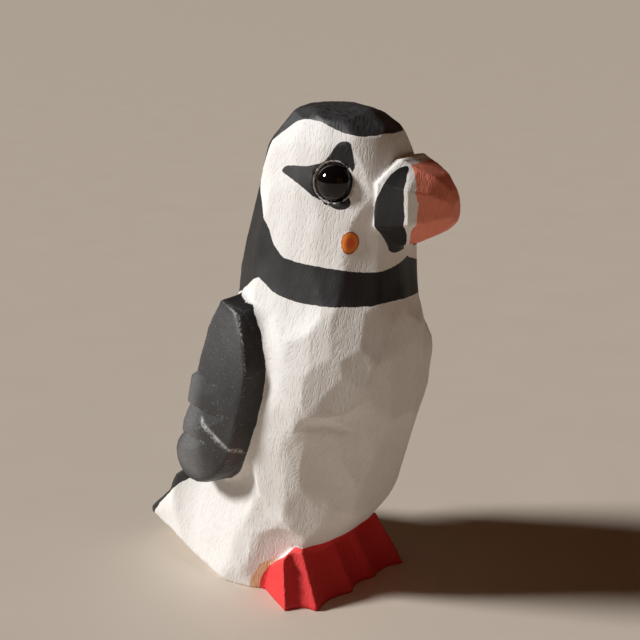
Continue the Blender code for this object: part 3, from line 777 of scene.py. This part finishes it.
class Recipe:
    """A material's node tree, with one short method for each kind of node the finishes use."""

    def __init__(self, name, **settings):
        self.material = bpy.data.materials.new(name)
        self.material.use_nodes = True
        self.tree = self.material.node_tree
        self.shader = self.tree.nodes["Principled BSDF"]
        for socket, value in settings.items():
            self.shader.inputs[socket.replace("_", " ")].default_value = value

    def node(self, kind, links=(), **settings):
        made = self.tree.nodes.new(f"ShaderNode{kind}")
        for key, value in settings.items():
            setattr(made, key, value)
        for socket, value in dict(links).items():
            if isinstance(value, bpy.types.NodeSocket):
                self.tree.links.new(value, made.inputs[socket])
            else:
                made.inputs[socket].default_value = value
        return made

    def attribute(self, name, output="Fac"):
        return self.node("Attribute", attribute_name=name).outputs[output]

    def place(self):
        """The place on the object, in millimetres."""
        return self.scaled(self.node("TexCoord").outputs["Object"], (1 / MM,) * 3)

    def scaled(self, vector, scale):
        return self.node("VectorMath", {0: vector, 1: scale}, operation="MULTIPLY").outputs[0]

    def noise(self, vector, scale, detail, roughness=0.5):
        links = {"Vector": vector, "Scale": scale, "Detail": detail, "Roughness": roughness}
        return self.node("TexNoise", links).outputs["Fac"]

    def maths(self, operation, first, *others):
        """The terms brought together one after the other."""
        total = first
        for term in others:
            total = self.node("Math", {0: total, 1: term}, operation=operation).outputs[0]
        return total

    def times(self, *terms):
        return self.maths("MULTIPLY", *terms)

    def plus(self, *terms):
        return self.maths("ADD", *terms)

    def most(self, *terms):
        return self.maths("MAXIMUM", *terms)

    def step(self, value, low, high, to_low=0.0, to_high=1.0):
        """The value between two bounds, smoothly brought to two others."""
        links = {"Value": value, "From Min": low, "From Max": high, "To Min": to_low, "To Max": to_high}
        return self.node("MapRange", links, interpolation_type="SMOOTHSTEP").outputs["Result"]

    def mix(self, share, under, over):
        """One colour laid over another, for the share that shows."""
        links = {"Factor": share, 6: self.colour(under), 7: self.colour(over)}
        return self.node("Mix", links, data_type="RGBA").outputs[2]

    def colour(self, value):
        return (*value, 1.0) if isinstance(value, tuple) else value

    def give(self, socket, value):
        self.tree.links.new(value, self.shader.inputs[socket])

    def bump(self, height):
        """Relief from a height in millimetres."""
        links = {"Height": height, "Distance": MM, "Strength": 1.0}
        self.give("Normal", self.node("Bump", links).outputs["Normal"])


# Colours of the paint and the wood, and of the painted sheen on the black
WHITE, WHITE_THIN = (0.87, 0.86, 0.84), (0.73, 0.68, 0.62)
# Painted sheen: a light tone for the black of the wings' hind lobes, where they catch the light
LOBE_SHEEN_TONE = (0.17, 0.17, 0.175)
# The black's dusted tone is dusting on the paint, and also painted sheen where it lightens the wings'
# tops, the hind lobes and the crown
BLACK, BLACK_DUST_AND_SHEEN, BLACK_WORN = (0.006, 0.006, 0.007), (0.080, 0.082, 0.085), (0.54, 0.53, 0.51)
RED, RED_DEEP = (0.80, 0.040, 0.042), (0.58, 0.018, 0.02)
BEAK_RED, BEAK_RED_DEEP = (0.93, 0.30, 0.20), (0.66, 0.13, 0.075)
SPOT_ORANGE, SPOT_RED, SPOT_RIM = (0.82, 0.22, 0.012), (0.74, 0.10, 0.015), (0.36, 0.08, 0.012)
BARE_WOOD, BARE_WOOD_DARK = (0.86, 0.60, 0.38), (0.66, 0.40, 0.20)
RIM_WHITE = (0.75, 0.70, 0.68)
GLASS_BLACK = (0.003, 0.0025, 0.003)

# Noise over the bird: waves in a millimetre and detail, and for the crumbs their roughness
CLOUD, SPECK, CRUMBS = (0.16, 2.0), (4.2, 1.0), (2.2, 3.0, 0.7)
FINE, BREAKS = (7.5, 1.0), (1.3, 2.0)
# Grain of each cut: waves in a millimetre across it, along it and from cut to cut, and detail
PORES, PORE_DETAIL = (3.6, 0.85, 1.0), 1.5
FIBRES, FIBRE_DETAIL = (6.5, 0.6, 1.0), 2.0
# How a paint's edge wanders: waves in a millimetre, detail, and how far it strays in all
WANDERS = ((0.45, 2.0, 0.45), (2.6, 1.0, 0.12))
PAINT_EDGE = 0.04

# Ranges: where each starts and where it is full, and for some the amounts at both
PORE_RANGE, STREAK_RANGE, WHITE_CLOUDS = (0.50, 0.68), (0.35, 0.7), (0.45, 0.75)
# The second range breaks the wing's dusting and painted sheen into fine flecks
CLOUD_DUST, FINE_DUST_AND_SHEEN = (0.4, 0.7), (0.35, 0.7, 0.15, 0.85)
# Painted sheen: the crown's black lighter in its grain towards the top, where the light falls on it
CROWN_HEIGHT, CROWN_SHEEN = (75.0, 79.0), (0.35, 0.65, 0.1, 0.6)
# Painted sheen over dusting: the wing's black lighter towards its top, where it catches the light
WING_HEIGHT = (32.0, 48.0, 0.45, 1.2)
# Painted sheen: the wings' hind lobes, behind and below these bounds, made lighter where they catch the
# light
LOBE_BACK, LOBE_HEIGHT, LOBE_SHEEN_BREAKS = (11.0, 16.0), (40.0, 36.0), (0.30, 0.65, 0.25, 0.85)
WORN_RIDGE, WORN_CRUMBS, WORN_HEIGHT = (0.45, 0.9), (0.50, 0.60), (36.0, 45.0, 0.35, 1.0)
BITS_RANGE, SLIP_CRUMBS, RIM_BREAKS = (0.73, 0.77), (0.40, 0.52), (0.36, 0.46)
SPOT_MIDDLE_RANGE, SPOT_RIM_RANGE = (0.35, 1.0), (0.26, 0.08)

# Shares of what shows: thin white in the pores and clouds, dust, worn bits and dark streaks
PORE_SHARE, CLOUD_SHARE = 0.22, 0.16
CLOUD_DUST_SHARE, FIBRE_DUST_SHARE = 0.12, 0.12
BITS_ON_WING, BITS_ELSEWHERE, WORN_SHARE = 0.8, 0.05, 0.8
RED_STREAKS, BEAK_STREAKS = 0.35, 0.4

# Roughness of the paints, shine of the paint, and the glass's roughness and bending of light
ROUGH_WHITE, ROUGH_BLACK, ROUGH_CRUMBS, PAINT_SHINE = 0.62, 0.44, 0.06, 0.5
ROUGH_GLASS, GLASS_BEND = 0.03, 1.45
# Relief of the paint: depth of a pore, rise of a fibre, the share of both that shows through
# the black, thickness of the black, and rise of a speck
PORE_DEPTH, FIBRE_RISE, UNDER_BLACK = -0.03, 0.014, 0.3
BLACK_THICK, SPECK_RISE = 0.015, 0.006


class Marks:
    """What the colours are laid out by: the place, the noise, the grain and the knife's marks."""

    def __init__(self, paint):
        self.place = paint.place()
        ways = paint.node("SeparateXYZ", {0: self.place}).outputs
        self.back, self.height = ways["Y"], ways["Z"]
        self.cloud, self.speck, self.crumbs, self.fine, self.breaks = (
            paint.noise(self.place, *waves) for waves in (CLOUD, SPECK, CRUMBS, FINE, BREAKS)
        )
        grain = paint.attribute("grain", "Vector")
        pores = paint.noise(paint.scaled(grain, PORES), 1.0, PORE_DETAIL)
        self.pores = paint.step(pores, *PORE_RANGE)
        self.fibres = paint.noise(paint.scaled(grain, FIBRES), 1.0, FIBRE_DETAIL)
        self.streaks = paint.step(self.fibres, *STREAK_RANGE)
        self.ridge, self.wing, self.slip = (
            paint.attribute(name) for name in ("ridge", "wing", "slip")
        )
        self.feet, self.spot = paint.attribute("feet"), paint.attribute("spot")
        strays = []
        for scale, detail, reach in WANDERS:
            stray = paint.maths("SUBTRACT", paint.noise(self.place, scale, detail), 0.5)
            strays.append(paint.times(stray, reach))
        self.wander = paint.plus(*strays)


def white_paint(paint, marks):
    """White, thin in the pores of the wood and in soft clouds."""
    white = paint.mix(paint.times(marks.pores, PORE_SHARE), WHITE, WHITE_THIN)
    clouds = paint.step(marks.cloud, *WHITE_CLOUDS)
    return paint.mix(paint.times(clouds, CLOUD_SHARE), white, WHITE_THIN)


def worn_through(paint, marks):
    """How far the black is gone: along the wings' knife edges, in bits, and at the slip."""
    edges = paint.times(
        paint.step(marks.ridge, *WORN_RIDGE),
        paint.step(marks.crumbs, *WORN_CRUMBS),
        marks.wing,
        paint.step(marks.height, *WORN_HEIGHT),
    )
    often = paint.plus(paint.times(marks.wing, BITS_ON_WING), BITS_ELSEWHERE)
    bits = paint.times(paint.step(marks.speck, *BITS_RANGE), often)
    slip = paint.times(marks.slip, paint.step(marks.crumbs, *SLIP_CRUMBS))
    return paint.most(edges, bits, slip)


def black_paint(paint, marks):
    """Black, dusted, with painted sheen towards the wings' tops, on their hind lobes and at the crown's
    top, and worn.
    """
    # Painted sheen: lighter towards the wings' tops, on their hind lobes and at the crown's top, mixed in
    # with real dusting
    lobes = paint.times(paint.step(marks.back, *LOBE_BACK), paint.step(marks.height, *LOBE_HEIGHT))
    wing_dust_and_sheen = paint.plus(paint.step(marks.height, *WING_HEIGHT), lobes)
    crown = paint.step(marks.height, *CROWN_HEIGHT)
    dust_and_sheen = paint.plus(
        paint.times(paint.step(marks.cloud, *CLOUD_DUST), CLOUD_DUST_SHARE),
        paint.times(marks.fibres, FIBRE_DUST_SHARE),
        paint.times(marks.wing, wing_dust_and_sheen, paint.step(marks.fine, *FINE_DUST_AND_SHEEN)),
        paint.times(crown, paint.step(marks.fibres, *CROWN_SHEEN)),
    )
    dark = paint.mix(dust_and_sheen, BLACK, BLACK_DUST_AND_SHEEN)
    # Painted sheen on the hind lobes: a light tone, broken up by fine noise
    lobe_sheen = paint.times(lobes, marks.wing, paint.step(marks.fine, *LOBE_SHEEN_BREAKS))
    dark = paint.mix(lobe_sheen, dark, LOBE_SHEEN_TONE)
    return paint.mix(paint.times(worn_through(paint, marks), WORN_SHARE), dark, BLACK_WORN)


def bare_share(paint, marks):
    """Where the wood is bare: in a strip behind the feet, and at the sole's edge."""
    behind = paint.plus(marks.feet, marks.wander)
    strip = paint.step(behind, -BARE_STRIP - BARE_EDGE, -BARE_STRIP + BARE_EDGE)
    strip = paint.times(strip, paint.step(marks.height, *BARE_TOP))
    return paint.most(strip, paint.step(marks.height, *BARE_SOLE))


def glue_share(paint, marks):
    """Where the broken rings of glue and paint lie round the beads."""
    rings = []
    for node in EYES:
        middle, radius = bead_place(node)
        gap = paint.node("VectorMath", {0: marks.place, 1: tuple(middle)}, operation="DISTANCE")
        edge = radius + RIM_WIDE
        rings.append(paint.step(gap.outputs["Value"], edge + RIM_OUTWARD, edge - RIM_INWARD))
    return paint.times(paint.most(*rings), paint.step(marks.breaks, *RIM_BREAKS))


def spot_paint(paint, marks):
    """Orange, redder in the middle and dark at the rim."""
    orange = paint.mix(paint.step(marks.spot, *SPOT_MIDDLE_RANGE), SPOT_ORANGE, SPOT_RED)
    return paint.mix(paint.step(marks.spot, *SPOT_RIM_RANGE), orange, SPOT_RIM)


def painted_wood():
    """Matte paint over knife-cut wood: white, black, two reds, an orange spot and bare wood."""
    paint = Recipe("painted_wood", Roughness=ROUGH_WHITE, Specular_IOR_Level=PAINT_SHINE)
    marks = Marks(paint)
    black, feet, tip, spot = (
        paint.step(paint.plus(paint.attribute(name), marks.wander), -PAINT_EDGE, PAINT_EDGE)
        for name in ("black", "feet", "beak_tip", "spot")
    )
    layers = (
        (bare_share(paint, marks), paint.mix(marks.streaks, BARE_WOOD, BARE_WOOD_DARK)),
        (feet, paint.mix(paint.times(marks.streaks, RED_STREAKS), RED, RED_DEEP)),
        (tip, paint.mix(paint.times(marks.streaks, BEAK_STREAKS), BEAK_RED, BEAK_RED_DEEP)),
        (black, black_paint(paint, marks)),
        (glue_share(paint, marks), RIM_WHITE),
        (spot, spot_paint(paint, marks)),
    )
    colour = white_paint(paint, marks)
    for share, layer in layers:
        colour = paint.mix(share, colour, layer)
    paint.give("Base Color", colour)

    rough = paint.step(black, 0.0, 1.0, ROUGH_WHITE, ROUGH_BLACK)
    paint.give("Roughness", paint.plus(rough, paint.times(marks.crumbs, ROUGH_CRUMBS)))
    grain = paint.plus(paint.times(marks.pores, PORE_DEPTH), paint.times(marks.fibres, FIBRE_RISE))
    relief = paint.plus(
        paint.times(grain, paint.step(black, 0.0, 1.0, 1.0, UNDER_BLACK)),
        paint.times(black, BLACK_THICK),
        paint.times(marks.speck, SPECK_RISE),
    )
    paint.bump(relief)
    return paint.material


def black_glass():
    """Polished black glass."""
    glass = Recipe("black_glass", Base_Color=(*GLASS_BLACK, 1), Roughness=ROUGH_GLASS, IOR=GLASS_BEND)
    return glass.material


class Shaper:
    """A Geometry Nodes tree with named inputs, run once on an empty mesh to give a plain mesh."""

    def __init__(self, name):
        self.tree = bpy.data.node_groups.new(name, "GeometryNodeTree")
        self.tree.interface.new_socket("Geometry", in_out="OUTPUT", socket_type="NodeSocketGeometry")
        self.inputs = self.tree.nodes.new("NodeGroupInput")
        self.output = self.tree.nodes.new("NodeGroupOutput")
        self.values = {}

    def size(self, name, value, kind="Float"):
        """A named input, with the value that the modifier gets."""
        socket = self.tree.interface.new_socket(name, in_out="INPUT", socket_type=f"NodeSocket{kind}")
        self.values[socket.identifier] = value
        return self.inputs.outputs[name]

    def node(self, kind, links=(), **settings):
        made = self.tree.nodes.new(kind)
        for key, value in settings.items():
            setattr(made, key, value)
        for socket, value in dict(links).items():
            if isinstance(value, bpy.types.NodeSocket):
                self.tree.links.new(value, made.inputs[socket])
            else:
                made.inputs[socket].default_value = value
        return made.outputs[0]

    def finished(self, geometry, material, name):
        """The tree's result as a plain mesh object."""
        whole = self.node("GeometryNodeRealizeInstances", {"Geometry": geometry})
        coloured = self.node("GeometryNodeSetMaterial", {"Geometry": whole, "Material": material})
        self.tree.links.new(coloured, self.output.inputs[0])
        seed = placed(f"{name}_seed", bpy.data.meshes.new(f"{name}_seed"))
        modifier = seed.modifiers.new(name, "NODES")
        modifier.node_group = self.tree
        for identifier, value in self.values.items():
            modifier[identifier] = value
        seed.update_tag()
        shaped = seed.evaluated_get(bpy.context.evaluated_depsgraph_get())
        mesh = bpy.data.meshes.new_from_object(shaped)
        mesh.name = name
        bpy.data.objects.remove(seed)
        return placed(name, mesh)


def make_bead(node, name, glass):
    """A round glass bead on its node's place."""
    middle, radius = bead_place(node)
    shaper = Shaper(f"{name}_shape")
    across = shaper.size("Radius", radius * MM)
    sides = shaper.size("Sides", BEAD_SIDES, "Int")
    rings = shaper.size("Rings", BEAD_RINGS, "Int")
    place = shaper.size("Place", tuple(middle * MM), "Vector")
    ball = shaper.node("GeometryNodeMeshUVSphere", {"Segments": sides, "Rings": rings, "Radius": across})
    smooth = shaper.node("GeometryNodeSetShadeSmooth", {"Geometry": ball})
    seated = shaper.node("GeometryNodeTransform", {"Geometry": smooth, "Translation": place})
    return shaper.finished(seated, glass, name)


# The table top, in metres: its radius, sides, roughness, mottle as waves in a millimetre and
# detail, and its two tones
TABLE_RADIUS, TABLE_SIDES, TABLE_ROUGH = 6.0, 96, 0.7
TABLE_MOTTLE = (0.05, 3.0)
TABLE_PALE, TABLE_PALER = (0.65, 0.57, 0.48), (0.69, 0.61, 0.52)
# Lights and camera, in degrees and metres: turn, height and distance from what they face
LIGHT_AIM = Vector((0, 0, 0.045))
WINDOW_PLACE, FILL_PLACE = (-137.0, 32.0, 3.0), (-25.0, 18.0, 1.2)
WINDOW_STRENGTH, WINDOW_WIDE, WINDOW_COLOUR = 3.68, math.radians(12.7), (1.0, 0.995, 0.985)
FILL_POWER, FILL_SIZE, FILL_COLOUR = 0.22, 0.7, (1.0, 0.38, 0.12)
ROOM_STRENGTH, ROOM_COLOUR = 0.04, (1.0, 0.45, 0.20, 1)
CAMERA_AIM, CAMERA_PLACE = Vector((-0.001, 0.0, 0.046)), (-50.0, 16.0, 0.208)
# The camera's lens and sensor in millimetres, and in metres the nearest that it sees
LENS, SENSOR, NEAREST = 72.0, 36.0, 0.01


def floor():
    """A plain pale table top."""
    bpy.ops.mesh.primitive_circle_add(vertices=TABLE_SIDES, radius=TABLE_RADIUS, fill_type="NGON")
    table = bpy.context.object
    table.name = "table"
    pale = Recipe("pale_table", Roughness=TABLE_ROUGH)
    mottle = pale.noise(pale.place(), *TABLE_MOTTLE)
    pale.give("Base Color", pale.mix(mottle, TABLE_PALE, TABLE_PALER))
    table.data.materials.append(pale.material)


def aimed(thing, azimuth, elevation, distance, aim):
    """Puts a light or camera at a turn and height around a point, facing it."""
    a, e = math.radians(azimuth), math.radians(elevation)
    back = Vector((math.sin(a) * math.cos(e), -math.cos(a) * math.cos(e), math.sin(e)))
    thing.location = aim + back * distance
    thing.rotation_euler = back.to_track_quat("Z", "Y").to_euler()


def lamp(name, kind, strength, colour, place):
    """A light that faces the bird."""
    light = bpy.data.lights.new(name, kind)
    light.energy = strength
    light.color = colour
    aimed(placed(name, light), *place, LIGHT_AIM)
    return light


def lights():
    """The window, behind the bird's right side, and the faint warm light of the room."""
    window = lamp("window_light", "SUN", WINDOW_STRENGTH, WINDOW_COLOUR, WINDOW_PLACE)
    window.angle = WINDOW_WIDE
    fill = lamp("room_fill", "AREA", FILL_POWER, FILL_COLOUR, FILL_PLACE)
    fill.shape = "SQUARE"
    fill.size = FILL_SIZE
    world = bpy.data.worlds.new("room")
    world.use_nodes = True
    background = world.node_tree.nodes["Background"]
    background.inputs["Color"].default_value = ROOM_COLOUR
    background.inputs["Strength"].default_value = ROOM_STRENGTH
    bpy.context.scene.world = world
    bpy.context.scene.view_settings.view_transform = "Standard"


def camera():
    """The photograph's view: from the front right, a little above."""
    lens = bpy.data.cameras.new("camera")
    lens.lens = LENS
    lens.sensor_width = SENSOR
    lens.clip_start = NEAREST
    view = placed("camera", lens)
    aimed(view, *CAMERA_PLACE, CAMERA_AIM)
    bpy.context.scene.camera = view


def dress():
    """The painted body and the two beads, each on the solid that it stands for."""
    body = make_body()
    body.data.materials.append(painted_wood())
    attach(body, "root")
    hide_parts("puffin_body")
    glass = black_glass()
    for node in EYES:
        bead = make_bead(node, f"{node}_bead", glass)
        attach(bead, "root")
        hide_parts(node)


dress()
floor()
lights()
camera()
